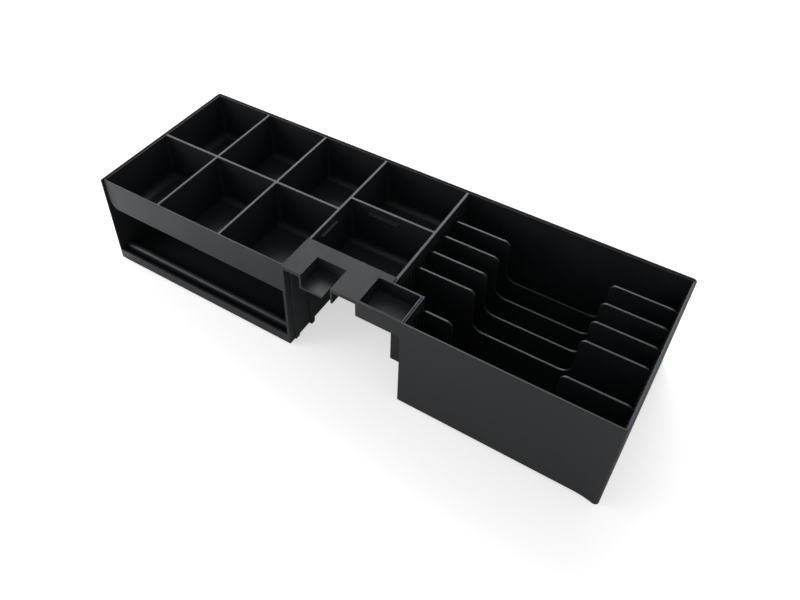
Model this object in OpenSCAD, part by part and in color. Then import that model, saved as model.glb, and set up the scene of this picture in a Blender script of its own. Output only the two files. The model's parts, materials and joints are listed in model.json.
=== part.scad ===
// Cash drawer insert: eight coin cups over a storage bay, a lock bridge with two pockets, and a note box.
// Millimetres, +Z up, front at -Y. The origin is under the middle of the tray, on the plane of its feet.

/* [Tray] */
// Overall length of the tray
tray_w = 446.5; // [430:0.5:480]
// Overall depth of the tray, front to back
tray_d = 150; // [142:1:170]
// Height of the rim above the surface that the tray stands on
tray_h = 92; // [84:1:110]
// Height of the feet
foot_h = 3; // [2:0.5:6]
// Length of a foot along its wall
foot_l = 4; // [3:0.5:8]
// Radius of the foot below the rear rib
foot_r = 1.5; // [0.5:0.1:1.8]
// Outer walls of the coin side, the note box's left wall and the raised lip of its rim
lip_t = 1.2; // [1:0.1:1.9]
// Depth of the cups' edges and of the step inside the rim
step_h = 1; // [0.5:0.1:2]
// Radius of the upright outer corners
corner_r = 3; // [2:0.5:5]

/* [Coin cups] */
// Middle of the first wall between two columns, from the left end
first_wall_x = 59.9; // [52:0.1:64]
// Distance between the middles of the walls of the narrow columns
column_pitch = 62.2; // [56:0.1:64]
// Length of the coin side, from the left end to the note box
coin_w = 261.5; // [250:0.5:268]
// Depth of a cup below its own edge
cup_depth = 44; // [36:1:50]
// Outer wall of the cup tub
tub_t = 1.2; // [1:0.1:2]
// Wall between two cups
partition_t = 2.2; // [1.5:0.1:3]
// Floor of the cups
tub_floor_t = 2; // [1.5:0.1:3]
// Radius of the upright corners inside a cup
cup_corner_r = 5; // [3:0.5:8]
// Fillet along the floor of a cup
cup_floor_r = 6; // [3:0.5:8]
// Height of the flat front apron, down to the ramp
apron_h = 29.5; // [22:0.5:36]
// Set-back of the apron behind the front of the tray
apron_setback = 2; // [1:0.5:6]
// Radius of the apron's lower edge
apron_edge_r = 6; // [3:0.5:8]
// Slope of the ramp under the apron, away from upright
ramp_a = 38; // [30:1:45]
// Radius of the tub's lower left edge
tub_side_r = 9.5; // [6:0.5:14]
// Middle of the wall between the front and the back row, from the front
row_y = 76; // [66:1:86]
// Middle of the same wall in the fourth column, which lies further back
lock_row_y = 92.5; // [80:0.5:100]
// Distance of the fourth column's front cup behind the step in the front wall
cup_setback = 7; // [6:0.5:12]
// Length of the ledge on the lock wall of the fourth column's front cup
side_ledge_l = 21; // [15:1:30]
// Distance of that ledge from the front of its cup
side_ledge_y = 13; // [8:1:18]
// Length of the ledge on the back wall of that cup
back_ledge_l = 28; // [15:1:36]
// Distance of that ledge from the lock wall
back_ledge_x = 17; // [10:1:24]
// How far a ledge stands out from its wall
ledge_w = 2; // [1:0.5:3]
// Thickness of a ledge
ledge_t = 1.5; // [1:0.1:2]
// Top of the ledges below the rim
ledge_drop = 8; // [5:0.5:14]

/* [Storage bay] */
// Thickness of the bay's right wall
bay_wall_t = 2; // [1.5:0.1:3]
// Thickness of the bay's floor
bay_floor_t = 2; // [1.5:0.1:3]
// Width of the front post at the right of the apron
post_w = 2.5; // [2:0.5:5]
// Height of the front rail
rail_h = 9.5; // [6:0.5:14]
// Thickness of the front rail
rail_t = 2.5; // [1.5:0.1:3]
// Clear width of the gutter behind the rail
gutter_w = 4.5; // [3:0.5:10]
// Thickness of the rounded lip behind the gutter
bead_t = 6; // [4:0.5:8]
// Height of the rounded lip above the bay's floor
bead_h = 9.5; // [6:0.5:14]
// Width of an upright rib on the bay's right wall
rib_w = 5; // [3:0.5:8]
// How far a rib stands out from the wall
rib_t = 1.2; // [0.8:0.1:2]
// Middle of the front rib, from the front
front_rib_y = 9; // [7:0.5:14]
// Middle of the rear rib, which ends in a foot, from the front
rear_rib_y = 30; // [24:0.5:60]

/* [Lock bridge] */
// Thickness of the bridge plate
plate_t = 3; // [2:0.1:4]
// Clear width of the open pocket
open_pocket_w = 25.5; // [15:0.5:30]
// Clear depth of the open pocket, front to back
open_pocket_d = 22; // [15:0.5:28]
// Distance of the open pocket from the plate's left edge
open_pocket_x = 18; // [12:0.5:20]
// Depth of the open pocket's floor below the plate's top
open_pocket_h = 12.8; // [8:0.2:18]
// Width of the slot between the open pocket's floor and its right wall
open_slot_w = 7; // [5:0.5:10]
// Walls and floor of the open pocket
pocket_t = 1.8; // [1.4:0.1:2.4]
// Clear length of the closed pocket
closed_pocket_w = 34.5; // [20:0.5:38]
// Height of the closed pocket's front wall
closed_pocket_h = 15.5; // [12:0.5:22]

/* [Note box] */
// Walls of the note box and of the closed pocket
wall_t = 2.4; // [2:0.1:3.5]
// Length of the step in the front wall, from the coin side to the narrow front part
step_w = 23.5; // [18:0.5:30]
// Set-back of the step in the front wall
step_d = 28.5; // [26:0.5:31]
// Height of the skirt below the box's floor
skirt_h = 3; // [2:0.5:6]
// Floor of the note box
note_floor_t = 2; // [1.5:0.1:3]
// Length of the curved run-out from a corner foot into the skirt
foot_run = 14.5; // [8:0.5:24]
// How far the right end leans in, from the rim down to the feet
lean = 1.5; // [0:0.5:4]

/* [Note dividers] */
// Distance between the slots for the dividers
slot_pitch = 5; // [4.5:0.1:5.5]
// Middle of the first divider's slot, from the back of the tray
first_slot_y = 30; // [24:0.5:36]
// Slots from one wide divider to the next
slot_count = 4; // [2:1:5]
// Wanted place of the short divider, from the front; it takes the nearest slot
short_slot_y = 25; // [8:1:26]
// Thickness of a divider
divider_t = 1.8; // [1.4:0.1:2.4]
// Play of a divider between two teeth, on each side
slot_play = 0.3; // [0.2:0.05:0.5]
// Play of a divider at its ends and below
end_play = 0.4; // [0.3:0.1:0.8]
// How far a tooth stands out from its wall
tooth_l = 1.6; // [1:0.1:3]
// How much narrower a tooth is at its tip
tooth_taper = 0.8; // [0.4:0.1:1.4]
// Top of the teeth below the rim
tooth_drop = 9.5; // [6:0.5:14]
// Top of the dividers below the rim
divider_drop = 8; // [5:0.5:14]
// Distance of the finger cut-out from the left wall of the narrow front part
ear_w = 26; // [20:0.5:40]
// Depth of the finger cut-out
cutout_depth = 40; // [24:1:55]
// Radius of the cut-out's lower corners
cutout_r = 10; // [4:0.5:16]
// Radius of the shoulders beside the cut-out and of the divider's upper corners
shoulder_r = 5; // [2:0.5:8]

/* [Hidden] */
$fn = 64;

frame_black = [0.22, 0.23, 0.24];
floor_black = [0.18, 0.19, 0.20];
tub_black = [0.27, 0.28, 0.29];
bridge_grey = [0.31, 0.32, 0.34];
box_black = [0.20, 0.21, 0.22];
divider_black = [0.13, 0.14, 0.15];

// Overlap of a cutting shape past the face that it opens
past = 1;
// Least radius of an inner corner
least_r = 0.5;
// Shift of a long edge rounding, which then crosses the faces beside it instead of touching them
bite = 0.03;
// Narrow columns of cups, left of the lock wall
columns = 3;

wall_z = foot_h;
frame_in_y = tray_d - lip_t;
// Lock wall: the cup wall between the narrow columns and the fourth one
lock_x0 = column_wall_x(columns) - partition_t / 2;
lock_x1 = column_wall_x(columns) + partition_t / 2;
bridge_d = step_d + cup_setback;

tub_top = tray_h - step_h;
tub_floor_z = tub_top - cup_depth;
tub_z = tub_floor_z - tub_floor_t;
ramp_z = tub_top - apron_h;
plate_z = tray_h - plate_t;

bay_x1 = lock_x1 - bay_wall_t;
bay_floor_z = wall_z + bay_floor_t;
rail_z = wall_z + rail_h;
bead_y = rail_t + gutter_w;

side_x = coin_w + step_w;
side_in_x = side_x + wall_t;
step_in_y = step_d + wall_t;
note_x0 = coin_w + lip_t;
note_x1 = tray_w - wall_t;
note_z = wall_z + skirt_h;
note_floor_z = note_z + note_floor_t;
lean_a = atan(lean / tray_h);
// Reach of a leaning shape past the feet and the rim, which its tilt takes up
lean_reach = 20;

open_x0 = lock_x0 + open_pocket_x;
open_x1 = open_x0 + open_pocket_w;
open_floor_z = tray_h - open_pocket_h;
closed_x0 = side_x - closed_pocket_w;
closed_z = tray_h - closed_pocket_h;

tooth_base = slot_pitch - divider_t - 2 * slot_play;
tooth_top = tray_h - tooth_drop;
divider_z = note_floor_z + end_play;
divider_top = tray_h - divider_drop;
cutout_x0 = side_in_x + ear_w;
cutout_x1 = note_x0 + note_x1 - cutout_x0;
short_slot = round((tray_d - first_slot_y - short_slot_y) / slot_pitch);

// Middle of a wall between two columns of cups, counted from the left
function column_wall_x(i) = first_wall_x + (i - 1) * column_pitch;

// Middle of a slot, counted towards the front from the first divider's slot
function slot_y(slot) = tray_d - first_slot_y - slot * slot_pitch;

// Middles of the teeth whose whole foot lies between two walls
function teeth_between(y0, y1) = let (
    start = slot_y(-0.5),
    low = ceil((y0 + tooth_base / 2 - start) / slot_pitch),
    high = floor((y1 - tooth_base / 2 - start) / slot_pitch)
) [for (i = [low:high]) start + i * slot_pitch];

// Moves a shape from corner coordinates, at the left front foot, to the part's own frame
module placed() translate([-tray_w / 2, -tray_d / 2, 0]) children();

// A block between two opposite corners
module block(low, high) translate(low) cube(high - low);

// Extrudes a profile drawn in X and Z along Y
module along_y(y0, y1) translate([0, y1, 0]) rotate([90, 0, 0]) linear_extrude(y1 - y0) children();

// Extrudes a profile drawn in Y and Z along X
module along_x(x0, x1) translate([x0, 0, 0]) rotate([90, 0, 90]) linear_extrude(x1 - x0) children();

// A rectangle between two opposite corners
module rect(low, high) translate(low) square(high - low);

// What a square corner at the origin loses when it is rounded
module corner_waste(r) difference() {
    rect([-past, -past], [r, r]);
    translate([r, r]) circle(r);
}

// A rectangle with its four corners rounded
module soft_rect(low, high, r) difference() {
    rect(low, high);
    for (ix = [0, 1], iy = [0, 1])
        translate([ix ? high[0] : low[0], iy ? high[1] : low[1]])
            mirror([ix, 0]) mirror([0, iy]) corner_waste(r);
}

// Side profile of the tub behind a front wall: upright, then a ramp down to the floor
module tub_side(front_y, side_t, floor_t, top_z) {
    y0 = front_y + side_t;
    top = ramp_z + side_t * tan(ramp_a / 2);
    floor_z = tub_z + floor_t;
    polygon([[y0, top_z], [y0, top], [y0 + (top - floor_z) * tan(ramp_a), floor_z],
             [frame_in_y - side_t, floor_z], [frame_in_y - side_t, top_z]]);
}

// What the apron's lower edge loses when it is rounded
module apron_edge_waste(front_y) {
    middle = [front_y + apron_edge_r, ramp_z + apron_edge_r * tan(ramp_a / 2)];
    below = middle - (apron_edge_r + past) * [cos(ramp_a), sin(ramp_a)];
    difference() {
        polygon([[front_y - past, middle[1]], middle, below, [front_y - past, below[1]]]);
        translate(middle - bite * [cos(ramp_a / 2), sin(ramp_a / 2)]) circle(apron_edge_r);
    }
}

// The same for a long edge, with the rounding shifted out by the bite
module edge_waste(r) difference() {
    rect([-past, -past], [r, r]);
    translate([r - bite, r - bite]) circle(r);
}

// What the tub's lower left edge loses when it is rounded, along the floor and up the ramp
module tub_left_waste(side_t, floor_t) {
    r = tub_side_r - side_t;
    floor_z = tub_z + floor_t;
    rise = ramp_z + side_t * tan(ramp_a / 2) - floor_z;
    ramp_y = apron_setback + side_t + rise * tan(ramp_a);
    along_y(ramp_y, tray_d) translate([lip_t + side_t, floor_z]) edge_waste(r);
    translate([lip_t + side_t, ramp_y, floor_z]) rotate([ramp_a, 0, 0])
        linear_extrude(rise / cos(ramp_a) + r / tan(ramp_a) + past) edge_waste(r);
}

// Space of a cup: a plan with rounded corners, and a side profile given as the child
module cup_space(x0, x1, y0, y1) intersection() {
    translate([0, 0, tub_z]) linear_extrude(tray_h) soft_rect([x0, y0], [x1, y1], cup_corner_r);
    along_x(x0, x1) children();
}

// Front cup, with the ramp at its front and a fillet at its back
module front_cup(x0, x1, front_y, y1) cup_space(x0, x1, front_y + tub_t, y1) difference() {
    tub_side(front_y, tub_t, tub_floor_t, tray_h + past);
    rect([y1, 0], [tray_d, tray_h + 2 * past]);
    translate([y1, tub_floor_z]) mirror([1, 0]) corner_waste(cup_floor_r);
}

// Back cup, with fillets at its front and back
module back_cup(x0, x1, y0) cup_space(x0, x1, y0, frame_in_y - tub_t) difference() {
    rect([y0, tub_floor_z], [frame_in_y - tub_t, tray_h + past]);
    translate([y0, tub_floor_z]) corner_waste(cup_floor_r);
    translate([frame_in_y - tub_t, tub_floor_z]) mirror([1, 0]) corner_waste(cup_floor_r);
}

// The tub's outside: the narrow columns behind the apron, and the shorter fourth column
module tub_outside() {
    lock_front_y = bridge_d - tub_t;
    difference() {
        along_x(lip_t, lock_x1) difference() {
            tub_side(apron_setback, 0, 0, tub_top);
            apron_edge_waste(apron_setback);
        }
        tub_left_waste(0, 0);
    }
    along_x(lock_x0, coin_w) difference() {
        tub_side(lock_front_y, 0, 0, tub_top);
        apron_edge_waste(lock_front_y);
    }
}

// Spaces of the six cups in the narrow columns
module narrow_cups() for (i = [0:columns - 1]) {
    x0 = i == 0 ? lip_t + tub_t : column_wall_x(i) + partition_t / 2;
    x1 = column_wall_x(i + 1) - partition_t / 2;
    front_cup(x0, x1, apron_setback, row_y - partition_t / 2);
    back_cup(x0, x1, row_y + partition_t / 2);
}

// Two narrow ledges with round ends, near the top of the fourth column's front cup
module ledges() {
    back_y = lock_row_y - partition_t / 2;
    seat = partition_t / 2;
    translate([0, 0, tray_h - ledge_drop - ledge_t]) linear_extrude(ledge_t) {
        soft_rect([lock_x1 - seat, bridge_d + side_ledge_y],
                  [lock_x1 + ledge_w, bridge_d + side_ledge_y + side_ledge_l], ledge_w / 2);
        soft_rect([lock_x1 + back_ledge_x, back_y - ledge_w],
                  [lock_x1 + back_ledge_x + back_ledge_l, back_y + seat], ledge_w / 2);
    }
}

module coin_tub() color(tub_black) placed() {
    difference() {
        tub_outside();
        difference() {
            narrow_cups();
            tub_left_waste(tub_t, tub_floor_t);
        }
        front_cup(lock_x1, coin_w - tub_t, bridge_d - tub_t, lock_row_y - partition_t / 2);
        back_cup(lock_x1, coin_w - tub_t, lock_row_y + partition_t / 2);
        // Seat of the bridge plate on the lock wall and on the fourth column's front wall
        block([lock_x0, 0, plate_z], [coin_w + past, bridge_d, tray_h]);
    }
    ledges();
}

// Upright rib on the outside of the bay's right wall, up to the bridge plate
module wall_rib(y) block([lock_x1, y - rib_w / 2, wall_z], [lock_x1 + rib_t, y + rib_w / 2, plate_z]);

// Rounded foot below a rib and its wall
module rib_foot(y) along_x(bay_x1, lock_x1 + rib_t) difference() {
    rect([y - rib_w / 2, 0], [y + rib_w / 2, wall_z]);
    translate([y - rib_w / 2, 0]) corner_waste(foot_r);
    translate([y + rib_w / 2, 0]) mirror([1, 0]) corner_waste(foot_r);
}

// Plain foot under a wall of the coin side
module wall_foot(x0, y0, x1, y1) block([x0, y0, 0], [x1, y1, wall_z]);

// Left wall, back wall and ribbed right wall round the coin side, with the front post
module bay_frame() color(frame_black) placed() {
    difference() {
        translate([0, 0, wall_z]) linear_extrude(tray_h - wall_z) difference() {
            rect([0, 0], [coin_w, tray_d]);
            rect([lip_t, -past], [coin_w + past, frame_in_y]);
            translate([0, tray_d]) mirror([0, 1]) corner_waste(corner_r);
        }
        // seat of the front rail
        block([-past, -past, 0], [lip_t + past, rail_t, rail_z]);
    }
    block([lock_x1 - post_w, 0, rail_z], [lock_x1, apron_setback, plate_z]);
    along_x(bay_x1, lock_x1) difference() {
        union() {
            rect([rail_t, wall_z], [frame_in_y, ramp_z]);
            rect([0, rail_z], [frame_in_y, ramp_z]);
        }
        difference() {
            tub_side(apron_setback, 0, 0, tub_top);
            apron_edge_waste(apron_setback);
        }
    }
    wall_rib(front_rib_y);
    wall_rib(rear_rib_y);
    rib_foot(rear_rib_y);
    wall_foot(0, rail_t, lip_t, rail_t + foot_l);
    wall_foot(0, tray_d - corner_r - foot_l, lip_t, tray_d - corner_r);
    wall_foot(bay_x1, frame_in_y - foot_l, lock_x1, frame_in_y);
}

// Floor of the storage bay with the rounded lip, the gutter and the front rail
module bay_floor() color(floor_black) placed() {
    block([lip_t, 0, wall_z], [bay_x1, frame_in_y, bay_floor_z]);
    block([0, 0, wall_z], [lock_x1, rail_t, rail_z]);
    along_x(lip_t, bay_x1) {
        rect([bead_y, wall_z], [bead_y + bead_t, bay_floor_z + bead_h - bead_t / 2]);
        translate([bead_y + bead_t / 2, bay_floor_z + bead_h - bead_t / 2]) circle(bead_t / 2);
    }
}

// Plate over the lock space, with the open pocket and the closed pocket hung from it
module lock_bridge() color(bridge_grey) placed() {
    difference() {
        union() {
            block([lock_x0, 0, plate_z], [coin_w, bridge_d, tray_h]);
            block([coin_w - past, 0, plate_z], [side_x, step_d, tray_h]);
            // walls and floor of the open pocket
            block([open_x0 - pocket_t, 0, open_floor_z - pocket_t],
                  [open_x1 + pocket_t, open_pocket_d + pocket_t, tray_h]);
            // walls and floor of the closed pocket, which the note box's step wall closes at the back
            block([closed_x0 - wall_t, 0, closed_z], [coin_w, step_in_y, tray_h]);
            block([coin_w - past, 0, closed_z], [side_x, step_d, tray_h]);
        }
        block([open_x0, -past, open_floor_z], [open_x1, open_pocket_d, tray_h + past]);
        block([open_x1 - open_slot_w, -past, 0], [open_x1, open_pocket_d, tray_h]);
        block([closed_x0, wall_t, closed_z + wall_t], [side_x + past, step_d, tray_h + past]);
        block([coin_w, wall_t, closed_z + wall_t], [side_x + past, step_d + past, tray_h + past]);
    }
}

// Tilts a shape about the right end's rim, so that its foot moves in
module leaning() translate([tray_w, 0, tray_h]) rotate([0, lean_a, 0])
    translate([-tray_w, 0, -tray_h]) children();

// Leaning right end of the note box with its rounded corners, drawn in from the outer faces
module right_end(inset) leaning() translate([0, 0, -lean_reach]) linear_extrude(tray_h + 2 * lean_reach)
    difference() {
        rect([coin_w - lean_reach, inset], [tray_w - inset, tray_d - inset]);
        for (iy = [0, 1]) translate([tray_w - inset, iy ? tray_d - inset : inset])
            mirror([1, 0]) mirror([0, iy]) corner_waste(max(corner_r - inset, least_r));
    }

// Stepped form of the note box between two heights; the left wall has its own thickness
module note_form(left_t, inset, z0, z1) intersection() {
    right_end(inset);
    translate([0, 0, z0]) linear_extrude(z1 - z0) difference() {
        rect([coin_w + left_t, -past], [tray_w + past, tray_d + past]);
        rect([coin_w - past, -2 * past], [side_x + inset, step_d + inset]);
    }
}

// A corner foot that curves up into the wall's lower edge, drawn at the left of its run
module foot_profile() {
    run_r = (foot_run * foot_run + foot_h * foot_h) / (2 * foot_h);
    difference() {
        rect([-past, 0], [foot_l + foot_run, foot_h]);
        translate([foot_l + foot_run, foot_h - run_r]) circle(run_r);
    }
}

// Corner feet at the note box's right end, inside the rounded corners
module note_feet() intersection() {
    difference() {
        note_form(0, 0, 0, wall_z);
        right_end(wall_t);
    }
    union() for (iy = [0, 1]) translate([0, iy ? tray_d : 0, 0]) mirror([0, iy, 0]) {
        along_y(-past, wall_t + past) translate([tray_w - lean, 0]) mirror([1, 0]) foot_profile();
        along_x(note_x1 - lean - past, tray_w) foot_profile();
    }
}

// A row of upright teeth on a wall, whose inner face is at x and looks towards side
module tooth_row(x, side, y0, y1) translate([x, 0, note_z]) linear_extrude(tooth_top - note_z)
    for (y = teeth_between(y0, y1)) translate([0, y])
        polygon([[-side * lip_t / 2, -tooth_base / 2], [0, -tooth_base / 2],
                 [side * tooth_l, -(tooth_base - tooth_taper) / 2],
                 [side * tooth_l, (tooth_base - tooth_taper) / 2],
                 [0, tooth_base / 2], [-side * lip_t / 2, tooth_base / 2]]);

// Stepped note box, with toothed walls, a stepped rim and a skirt on three sides
module note_box() color(box_black) placed() {
    difference() {
        note_form(0, 0, note_z, tray_h);
        note_form(lip_t, wall_t, note_floor_z, tray_h + past);
        // step inside the rim, and the left wall lowered to the cups' edges
        note_form(-past, lip_t, tub_top, tray_h + past);
    }
    // skirt below the front, right and back walls
    difference() {
        note_form(0, 0, wall_z, note_z);
        right_end(wall_t);
        block([coin_w - past, 0, 0], [side_x, step_in_y, tray_h]);
    }
    note_feet();
    tooth_row(note_x0, 1, step_in_y, tray_d - wall_t);
    tooth_row(side_in_x, 1, wall_t, step_in_y);
    leaning() tooth_row(note_x1, -1, wall_t, tray_d - wall_t);
}

// Outline of a divider, with rounded shoulders beside its finger cut-out and a right edge that leans
module divider_outline(x0, x1) {
    low = divider_top - cutout_depth;
    top_x1 = x1 - lean * divider_drop / tray_h;
    difference() {
        rect([x0, divider_z], [x1, divider_top]);
        polygon([[x1, tray_h], [x1 - lean, 0], [x1 + past, 0], [x1 + past, tray_h]]);
        soft_rect([cutout_x0, low], [cutout_x1, divider_top + 2 * cutout_r], cutout_r);
        translate([cutout_x0, divider_top]) mirror([1, 0]) mirror([0, 1]) corner_waste(shoulder_r);
        translate([cutout_x1, divider_top]) mirror([0, 1]) corner_waste(shoulder_r);
        translate([x0, divider_top]) mirror([0, 1]) corner_waste(shoulder_r);
        translate([top_x1, divider_top]) mirror([1, 0]) mirror([0, 1]) corner_waste(shoulder_r);
    }
}

// Loose divider between a left wall's inner face and the right wall, in the given slot
module divider(left_x, slot) color(divider_black) placed()
    along_y(slot_y(slot) - divider_t / 2, slot_y(slot) + divider_t / 2)
        divider_outline(left_x + end_play, note_x1 - end_play);

module wide_divider(i) divider(note_x0, i * slot_count);

module short_divider() divider(side_in_x, short_slot);

bay_frame();
bay_floor();
coin_tub();
lock_bridge();
note_box();
wide_divider(0);  // note_divider_1
wide_divider(1);  // note_divider_2
wide_divider(2);  // note_divider_3
wide_divider(3);  // note_divider_4
short_divider();  // note_divider_5
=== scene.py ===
"""Looks of a cash drawer insert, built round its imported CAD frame. Metres, +Z up, front at -Y."""
import json
import math

import bmesh
import bpy
from mathutils import Euler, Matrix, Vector
from mathutils.bvhtree import BVHTree

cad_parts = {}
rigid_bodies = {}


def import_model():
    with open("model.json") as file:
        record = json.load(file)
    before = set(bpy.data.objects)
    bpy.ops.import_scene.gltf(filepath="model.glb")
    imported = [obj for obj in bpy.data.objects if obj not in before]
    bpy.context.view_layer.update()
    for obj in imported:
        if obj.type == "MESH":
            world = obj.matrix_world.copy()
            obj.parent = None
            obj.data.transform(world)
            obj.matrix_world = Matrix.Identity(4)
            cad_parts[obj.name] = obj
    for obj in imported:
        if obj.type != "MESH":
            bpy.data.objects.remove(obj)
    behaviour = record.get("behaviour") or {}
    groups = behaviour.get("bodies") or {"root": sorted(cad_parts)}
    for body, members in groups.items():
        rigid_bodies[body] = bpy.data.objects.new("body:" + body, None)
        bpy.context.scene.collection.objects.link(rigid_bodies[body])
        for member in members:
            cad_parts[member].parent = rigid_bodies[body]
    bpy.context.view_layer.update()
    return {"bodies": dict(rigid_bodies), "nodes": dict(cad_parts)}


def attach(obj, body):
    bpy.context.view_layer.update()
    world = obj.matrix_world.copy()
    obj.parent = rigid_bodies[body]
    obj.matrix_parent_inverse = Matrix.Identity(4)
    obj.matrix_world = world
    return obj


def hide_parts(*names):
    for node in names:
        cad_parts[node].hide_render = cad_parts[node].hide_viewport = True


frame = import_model()

MM = 0.001

TRAY_NODES = ("bay_frame", "bay_floor", "coin_tub", "lock_bridge", "note_box")
DIVIDER_NODES = tuple(f"note_divider_{i}" for i in range(1, 6))

# Camera of the photograph, for a frame of 800 x 600: metres and degrees, with lens and sensor in mm
CAMERA_PLACE = (0.23295, -0.3866, 0.5140)
CAMERA_TURN = (46.85, -0.495, 31.836)
CAMERA_LENS = 36.115
CAMERA_SENSOR = 36.0
CAMERA_SHIFT = (0.0279, -0.0905)
CAMERA_NEAR = 0.01

# Mesh clean-up: distance of points that are welded, and angle up to which faces are joined
WELD = 0.002 * MM
FLAT = math.radians(0.5)

# Least upright part of the normal of a level face, and of one that faces up
LEVEL = 0.99
UPWARD = 0.7

# Rounding: angle of edges that get it, size, steps and profile, and angle that stays sharp in shade
SHARP = math.radians(28)
ROUNDING = 0.3 * MM
ROUND_STEPS = 2
ROUND_PROFILE = 0.5
SMOOTH = math.radians(40)

# Search for neighbours along an edge: distance of the probe, step, and halvings at a seam's end
PROBE = 0.2 * MM
SEAM_STEP = 1.5 * MM
SEAM_HALVINGS = 8

# Ends of roundings: area of a face that counts as large there, and angle between two of them
LARGE_FACE = 20 * MM ** 2
RUN_OUT = math.radians(50)

# Coin cups in plan, in mm from the tray's front left corner: left and right, front and back
TRAY_HALF = (223.25, 75.0)
COLUMNS = ((2.4, 58.8), (61.0, 121.0), (123.2, 183.2))
ROWS = ((3.2, 74.9), (77.1, 147.6))
LOCK_COLUMN = (185.4, 260.3)
LOCK_ROWS = ((35.5, 91.4), (93.6, 147.6))
CUPS = [(column, row) for column in COLUMNS for row in ROWS]
CUPS += [(LOCK_COLUMN, row) for row in LOCK_ROWS]

# Cuts across the cups' rim, near the middle of each cup: axis, and place in mm as above
RIM_CUTS = ((0, 30.0), (0, 91.0), (0, 153.0), (0, 222.0), (1, 39.0), (1, 112.0))

# Upright corners of the cups: level of the rim, a level well below it, radius in the solids,
# radius at the rim, and how exactly a point lies at that level or on the solids' radius
CUP_TOP = 91.0 * MM
CUP_CLEAR = 75.0 * MM
SOLID_CORNER = 5.0 * MM
SEEN_CORNER = 0.8 * MM
CLOSE = 0.01 * MM

# Teeth of the note box: places of their tips in mm from the tray's left end, level of their tops,
# drop of the tops to the tips, and how near a point has to lie
TOOTH_TIPS = (264.3, 289.0, 442.35)
TOOTH_TOP = 82.5 * MM
TOOTH_SLOPE = 5.0 * MM
NEAR = 0.1 * MM

# Bridge: a level below its plate, and a place between its two pockets
PLATE_LEVEL = 88.0 * MM
OPEN_POCKET_END = 15.0 * MM

# Colours, linear
TRAY_BLACK = (0.0130, 0.0166, 0.0184)
DIVIDER_BLACK = (0.0104, 0.0134, 0.0150)
COOL_GLOSS = (0.88, 0.91, 1.0)
FLOOR_WHITE = (0.86, 0.86, 0.86)
WHITE = (1.0, 1.0, 1.0)

# Plastics: roughness of each, strength of a fine and a coarse grain, and refraction
TRAY_ROUGHNESS = 0.46
PLATE_ROUGHNESS = 0.66
DIVIDER_ROUGHNESS = 0.42
FINE_GRAIN = 0.18
COARSE_GRAIN = 0.4
PLASTIC_IOR = 1.5

# Noises in the plastics, each as scale per metre and detail, and the values they run between
CLOUDS = (26.0, 3.0)
MOTTLE = (420.0, 2.0)
GRAIN = (1900.0, 2.0)
NOISE_LOW = 0.3
NOISE_HIGH = 0.7

# Effect of the noises: sway of the shade, sway of the roughness, strength and height of the bumps
SHADE_SWAY = 0.2
CLOUD_SWAY = 0.04
MOTTLE_SWAY = 0.03
MOTTLE_STRENGTH = 0.4
MOTTLE_HEIGHT = 0.08 * MM
GRAIN_HEIGHT = 0.02 * MM

# White surround: its light, what the camera sees of it, what the floor adds for the camera and in
# gloss, and half the floor's width in metres
WORLD_LIGHT = 0.45
WORLD_SEEN = 1.0
FLOOR_LIFT = 0.58
FLOOR_GLOSS = 0.03
FLOOR_HALF = 6.0

# Lamps: place, point that they look at, width and height, and power in watts
KEY_LAMP = ((-0.49, 0.88, 0.81), (0.0, 0.0, 0.05), (1.6, 0.85), 18.0)
FILL_LAMP = ((-0.45, -0.40, 0.22), (-0.12, -0.08, 0.03), (0.3, 0.3), 1.1)


def material(name):
    """An empty material with its output node."""
    mat = bpy.data.materials.new(name)
    mat.use_nodes = True
    mat.node_tree.nodes.clear()
    out = mat.node_tree.nodes.new("ShaderNodeOutputMaterial")
    return mat, mat.node_tree, out


def noise(tree, vector, scale, detail):
    """A noise texture over the object's own coordinates."""
    node = tree.nodes.new("ShaderNodeTexNoise")
    node.inputs["Scale"].default_value = scale
    node.inputs["Detail"].default_value = detail
    tree.links.new(vector, node.inputs["Vector"])
    return node.outputs["Fac"]


def ranged(tree, value, low, high):
    """A noise's value mapped to a range from low to high."""
    node = tree.nodes.new("ShaderNodeMapRange")
    node.inputs["From Min"].default_value = NOISE_LOW
    node.inputs["From Max"].default_value = NOISE_HIGH
    node.inputs["To Min"].default_value = low
    node.inputs["To Max"].default_value = high
    tree.links.new(value, node.inputs["Value"])
    return node.outputs["Result"]


def bumped(tree, height, normal, strength, distance):
    """A normal that follows a height, on top of another normal where there is one."""
    bump = tree.nodes.new("ShaderNodeBump")
    bump.inputs["Strength"].default_value = strength
    bump.inputs["Distance"].default_value = distance
    tree.links.new(height, bump.inputs["Height"])
    if normal:
        tree.links.new(normal, bump.inputs["Normal"])
    return bump.outputs["Normal"]


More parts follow.
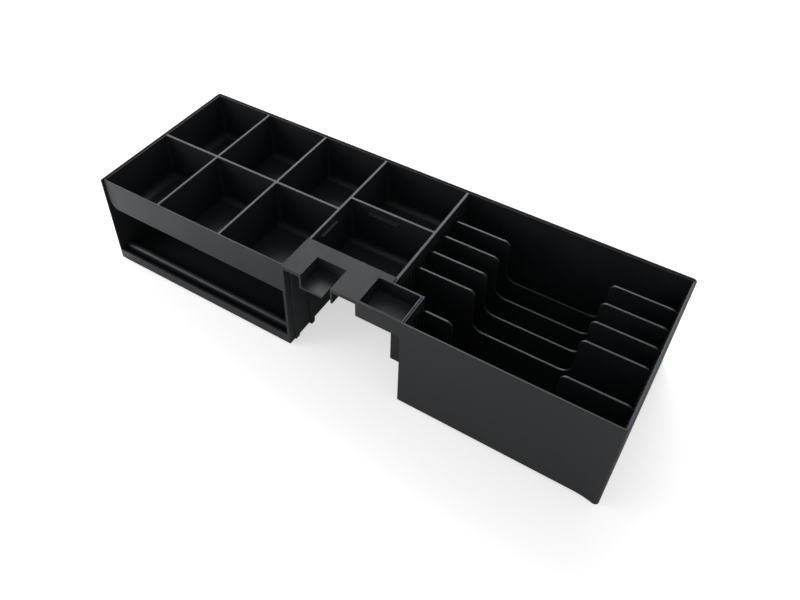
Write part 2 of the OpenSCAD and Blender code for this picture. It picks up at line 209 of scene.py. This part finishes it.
def moulded_plastic(name, colour, roughness, grain_strength=FINE_GRAIN):
    """Black moulded plastic with a satin grain, a faint mottle and slightly uneven gloss."""
    mat, tree, out = material(name)
    place = tree.nodes.new("ShaderNodeTexCoord").outputs["Object"]
    shader = tree.nodes.new("ShaderNodeBsdfPrincipled")
    clouds = noise(tree, place, *CLOUDS)
    mottle = noise(tree, place, *MOTTLE)
    grain = noise(tree, place, *GRAIN)

    tint = tree.nodes.new("ShaderNodeMix")
    tint.data_type = "RGBA"
    tint.inputs["A"].default_value = (*[(1 - SHADE_SWAY) * c for c in colour], 1.0)
    tint.inputs["B"].default_value = (*[(1 + SHADE_SWAY) * c for c in colour], 1.0)
    tree.links.new(mottle, tint.inputs["Factor"])
    tree.links.new(tint.outputs["Result"], shader.inputs["Base Color"])

    uneven = tree.nodes.new("ShaderNodeMath")
    uneven.operation = "ADD"
    cloudy = ranged(tree, clouds, roughness - CLOUD_SWAY, roughness + CLOUD_SWAY)
    mottled = ranged(tree, mottle, -MOTTLE_SWAY, MOTTLE_SWAY)
    tree.links.new(cloudy, uneven.inputs[0])
    tree.links.new(mottled, uneven.inputs[1])
    tree.links.new(uneven.outputs["Value"], shader.inputs["Roughness"])

    soft = bumped(tree, mottle, None, MOTTLE_STRENGTH, MOTTLE_HEIGHT)
    fine = bumped(tree, grain, soft, grain_strength, GRAIN_HEIGHT)
    tree.links.new(fine, shader.inputs["Normal"])
    shader.inputs["Specular Tint"].default_value = (*COOL_GLOSS, 1.0)
    shader.inputs["IOR"].default_value = PLASTIC_IOR
    tree.links.new(shader.outputs["BSDF"], out.inputs["Surface"])
    return mat


def tighten_corner(bm, corner, toward):
    """Moves the upper end of a cup's upright corner from the solid's radius to the one at the rim."""
    centre = [c - t * SOLID_CORNER for c, t in zip(corner, toward)]
    for v in bm.verts:
        away = [(v.co[i] - centre[i]) * toward[i] for i in (0, 1)]
        on_corner = min(away) >= -CLOSE and abs(math.hypot(*away) - SOLID_CORNER) <= CLOSE
        if v.co.z < CUP_CLEAR or not on_corner:
            continue
        for i in (0, 1):
            v.co[i] = corner[i] - toward[i] * SEEN_CORNER * (1 - away[i] / SOLID_CORNER)


def rim_faces(bm):
    """The level faces on top of the cups' walls."""
    bm.normal_update()
    level = [f for f in bm.faces if f.normal.z > LEVEL]
    return [f for f in level if abs(f.calc_center_median().z - CUP_TOP) < CLOSE]


def cut_rim(bm):
    """Cuts the cups' rim square across its walls with seams, into pieces that round cleanly."""
    for axis, place in RIM_CUTS:
        normal = Vector((0, 0, 0))
        normal[axis] = 1
        faces = rim_faces(bm)
        edges = list(dict.fromkeys(e for f in faces for e in f.edges))
        verts = list(dict.fromkeys(v for f in faces for v in f.verts))
        cut = bmesh.ops.bisect_plane(bm, geom=faces + edges + verts, plane_no=normal,
                                     plane_co=normal * (place - TRAY_HALF[axis]) * MM)
        for item in cut["geom_cut"]:
            if isinstance(item, bmesh.types.BMEdge):
                item.seam = True


def tighten_cups(bm):
    """Gives the coin cups corners that are tight at the rim and widen towards the floor."""
    bmesh.ops.delete(bm, geom=rim_faces(bm), context="FACES_KEEP_BOUNDARY")
    for column, row in CUPS:
        for x, to_x in zip(column, (-1, 1)):
            for y, to_y in zip(row, (-1, 1)):
                corner = [(a - half) * MM for a, half in zip((x, y), TRAY_HALF)]
                tighten_corner(bm, corner, (to_x, to_y))
    edges = [e for e in bm.edges if len(e.link_faces) == 1]
    bmesh.ops.triangle_fill(bm, use_beauty=True, edges=edges, normal=(0, 0, 1))
    cut_rim(bm)


def slope_teeth(bm):
    """Slopes the tops of the note box's teeth down to their tips, as a lead-in for the dividers."""
    for v in bm.verts:
        x = v.co.x / MM + TRAY_HALF[0]
        at_tip = any(abs(x - tip) * MM < NEAR for tip in TOOTH_TIPS)
        if at_tip and abs(v.co.z - TOOTH_TOP) < NEAR:
            v.co.z -= TOOTH_SLOPE


def welded(node):
    """A bmesh of a CAD node, with its seams welded and each flat face in one piece."""
    bm = bmesh.new()
    bm.from_mesh(frame["nodes"][node].data)
    bmesh.ops.remove_doubles(bm, verts=bm.verts, dist=WELD)
    if node == "coin_tub":
        tighten_cups(bm)
    if node == "note_box":
        slope_teeth(bm)
    bmesh.ops.dissolve_limit(bm, angle_limit=FLAT, verts=bm.verts, edges=bm.edges, delimit={"SEAM"})
    bm.normal_update()
    return bm


def solid_tree(node):
    """A search tree of a CAD node's surface."""
    mesh = frame["nodes"][node].data
    return BVHTree.FromPolygons([v.co for v in mesh.vertices], [p.vertices for p in mesh.polygons])


def inside(tree, point):
    """True if a point lies inside the closed surface of a search tree."""
    hit, normal, _, _ = tree.find_nearest(point)
    return hit is not None and (point - hit).dot(normal) < 0


def covered(edge, share, others):
    """True if a face beside the edge lies against another piece, at a share of the edge's length."""
    place = edge.verts[0].co.lerp(edge.verts[1].co, share)
    for loop in edge.link_loops:
        along = loop.link_loop_next.vert.co - loop.vert.co
        into = loop.face.normal.cross(along).normalized()
        point = place + PROBE * (into + loop.face.normal)
        if any(inside(tree, point) for tree in others):
            return True
    return False


def seam_ends(edge, others):
    """Shares of an edge's length at which it runs under a neighbour or comes out again."""
    steps = max(2, math.ceil(edge.calc_length() / SEAM_STEP))
    shares = [(i + 0.5) / steps for i in range(steps)]
    states = [covered(edge, share, others) for share in shares]
    ends = []
    for i in range(steps - 1):
        if states[i] == states[i + 1]:
            continue
        low, high = shares[i], shares[i + 1]
        for _ in range(SEAM_HALVINGS):
            middle = (low + high) / 2
            if covered(edge, middle, others) == states[i]:
                low = middle
            else:
                high = middle
        ends.append((low + high) / 2)
    return ends


def open_stretches(edge, others):
    """Splits an edge where it meets a neighbour, and gives the stretches that lie open."""
    start = edge.verts[0]
    done = 0.0
    stretches = []
    for end in seam_ends(edge, others):
        _, corner = bmesh.utils.edge_split(edge, start, (end - done) / (1 - done))
        stretches.append(next(e for e in corner.link_edges if e.other_vert(corner) == start))
        edge = next(e for e in corner.link_edges if e.other_vert(corner) != start)
        start = corner
        done = end
    stretches.append(edge)
    return [e for e in stretches if not covered(e, 0.5, others)]


def run_out_edges(bm):
    """Indices of the edges of large faces that meet at a point where a rounding runs out."""
    bm.normal_update()
    bm.edges.index_update()
    found = set()
    for v in bm.verts:
        large = [f for f in v.link_faces if f.calc_area() > LARGE_FACE]
        if not any(f.normal.angle(g.normal) > RUN_OUT for f in large for g in large):
            continue
        for e in v.link_edges:
            if e.calc_face_angle(0) > FLAT and any(f in large for f in e.link_faces):
                found.add(e.index)
    return sorted(found)


def rounded_mesh(node, others):
    """A copy of a CAD node's mesh with its open edges rounded, and its large faces flat in shade."""
    bm = welded(node)
    edges = [e for e in bm.edges if len(e.link_faces) == 2 and e.calc_face_angle() > SHARP]
    edges = [part for e in edges for part in open_stretches(e, others)]
    bmesh.ops.bevel(bm, geom=edges, affect="EDGES", offset=ROUNDING, offset_type="OFFSET",
                    segments=ROUND_STEPS, profile=ROUND_PROFILE, clamp_overlap=False,
                    miter_outer="SHARP", miter_inner="SHARP")
    bmesh.ops.remove_doubles(bm, verts=bm.verts, dist=WELD)
    creased = run_out_edges(bm)
    mesh = bpy.data.meshes.new(f"{node}_moulded")
    bm.to_mesh(mesh)
    bm.free()
    mesh.shade_smooth()
    mesh.set_sharp_from_angle(angle=SMOOTH)
    for i in creased:
        mesh.edges[i].use_edge_sharp = True
    return mesh


def moulded(node, mat, others=()):
    """A piece with rounded edges that stands for a CAD node and moves with the node's body."""
    mesh = rounded_mesh(node, others)
    mesh.materials.append(mat)
    piece = bpy.data.objects.new(f"{node}_moulded", mesh)
    bpy.context.scene.collection.objects.link(piece)
    normals = piece.modifiers.new("normals", "WEIGHTED_NORMAL")
    normals.keep_sharp = True
    body = next(b for b, o in frame["bodies"].items() if frame["nodes"][node].parent is o)
    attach(piece, body)
    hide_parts(node)
    return piece


def finish_bridge(piece, coarse):
    """Gives the bridge's plate and the floor of its closed pocket a coarser finish."""
    piece.data.materials.append(coarse)
    coarse_index = piece.data.materials.find(coarse.name)
    for face in piece.data.polygons:
        in_open_pocket = face.center.z < PLATE_LEVEL and face.center.x < OPEN_POCKET_END
        if face.normal.z > UPWARD and not in_open_pocket:
            face.material_index = coarse_index


def area_light(name, place, aim, size, power):
    """A soft rectangular lamp that looks at a point."""
    data = bpy.data.lights.new(name, "AREA")
    data.shape = "RECTANGLE"
    data.size, data.size_y = size
    data.energy = power
    lamp = bpy.data.objects.new(name, data)
    lamp.location = place
    lamp.rotation_euler = (Vector(aim) - Vector(place)).to_track_quat("-Z", "Y").to_euler()
    bpy.context.scene.collection.objects.link(lamp)


def white_floor():
    """A pale floor that shows white to the camera where no shadow falls."""
    mat, tree, out = material("floor")
    paths = tree.nodes.new("ShaderNodeLightPath")
    paper = tree.nodes.new("ShaderNodeBsdfDiffuse")
    paper.inputs["Color"].default_value = (*FLOOR_WHITE, 1.0)
    glow = tree.nodes.new("ShaderNodeEmission")
    glow.inputs["Color"].default_value = (*WHITE, 1.0)
    seen = tree.nodes.new("ShaderNodeMath")
    seen.operation = "MULTIPLY"
    seen.inputs[1].default_value = FLOOR_LIFT
    tree.links.new(paths.outputs["Is Camera Ray"], seen.inputs[0])
    lift = tree.nodes.new("ShaderNodeMath")
    lift.operation = "MULTIPLY_ADD"
    lift.inputs[1].default_value = FLOOR_GLOSS
    tree.links.new(paths.outputs["Is Glossy Ray"], lift.inputs[0])
    tree.links.new(seen.outputs["Value"], lift.inputs[2])
    tree.links.new(lift.outputs["Value"], glow.inputs["Strength"])
    both = tree.nodes.new("ShaderNodeAddShader")
    tree.links.new(paper.outputs["BSDF"], both.inputs[0])
    tree.links.new(glow.outputs["Emission"], both.inputs[1])
    tree.links.new(both.outputs["Shader"], out.inputs["Surface"])

    half = FLOOR_HALF
    corners = [(-half, -half, 0), (half, -half, 0), (half, half, 0), (-half, half, 0)]
    mesh = bpy.data.meshes.new("floor")
    mesh.from_pydata(corners, [], [(0, 1, 2, 3)])
    mesh.materials.append(mat)
    floor = bpy.data.objects.new("floor", mesh)
    bpy.context.scene.collection.objects.link(floor)


def white_world():
    """Even light from all round, white where the camera looks past the floor."""
    world = bpy.data.worlds.new("studio")
    world.use_nodes = True
    tree = world.node_tree
    back = tree.nodes["Background"]
    back.inputs["Color"].default_value = (*WHITE, 1.0)
    paths = tree.nodes.new("ShaderNodeLightPath")
    level = tree.nodes.new("ShaderNodeMapRange")
    level.inputs["To Min"].default_value = WORLD_LIGHT
    level.inputs["To Max"].default_value = WORLD_SEEN
    tree.links.new(paths.outputs["Is Camera Ray"], level.inputs["Value"])
    tree.links.new(level.outputs["Result"], back.inputs["Strength"])
    bpy.context.scene.world = world


def photo_camera():
    """A camera that stands and looks as the photograph's did."""
    data = bpy.data.cameras.new("camera")
    data.sensor_width = CAMERA_SENSOR
    data.lens = CAMERA_LENS
    data.shift_x, data.shift_y = CAMERA_SHIFT
    data.clip_start = CAMERA_NEAR
    camera = bpy.data.objects.new("camera", data)
    camera.location = CAMERA_PLACE
    camera.rotation_euler = Euler([math.radians(a) for a in CAMERA_TURN])
    bpy.context.scene.collection.objects.link(camera)
    bpy.context.scene.camera = camera


tray_plastic = moulded_plastic("tray_plastic", TRAY_BLACK, TRAY_ROUGHNESS)
plate_plastic = moulded_plastic("plate_plastic", TRAY_BLACK, PLATE_ROUGHNESS, COARSE_GRAIN)
divider_plastic = moulded_plastic("divider_plastic", DIVIDER_BLACK, DIVIDER_ROUGHNESS)

solids = {node: solid_tree(node) for node in TRAY_NODES}
for node in TRAY_NODES:
    neighbours = [solid for other, solid in solids.items() if other != node]
    piece = moulded(node, tray_plastic, neighbours)
    if node == "lock_bridge":
        finish_bridge(piece, plate_plastic)
for node in DIVIDER_NODES:
    moulded(node, divider_plastic)

photo_camera()
white_floor()
white_world()
area_light("key", *KEY_LAMP)
area_light("fill", *FILL_LAMP)

bpy.context.scene.view_settings.view_transform = "Standard"
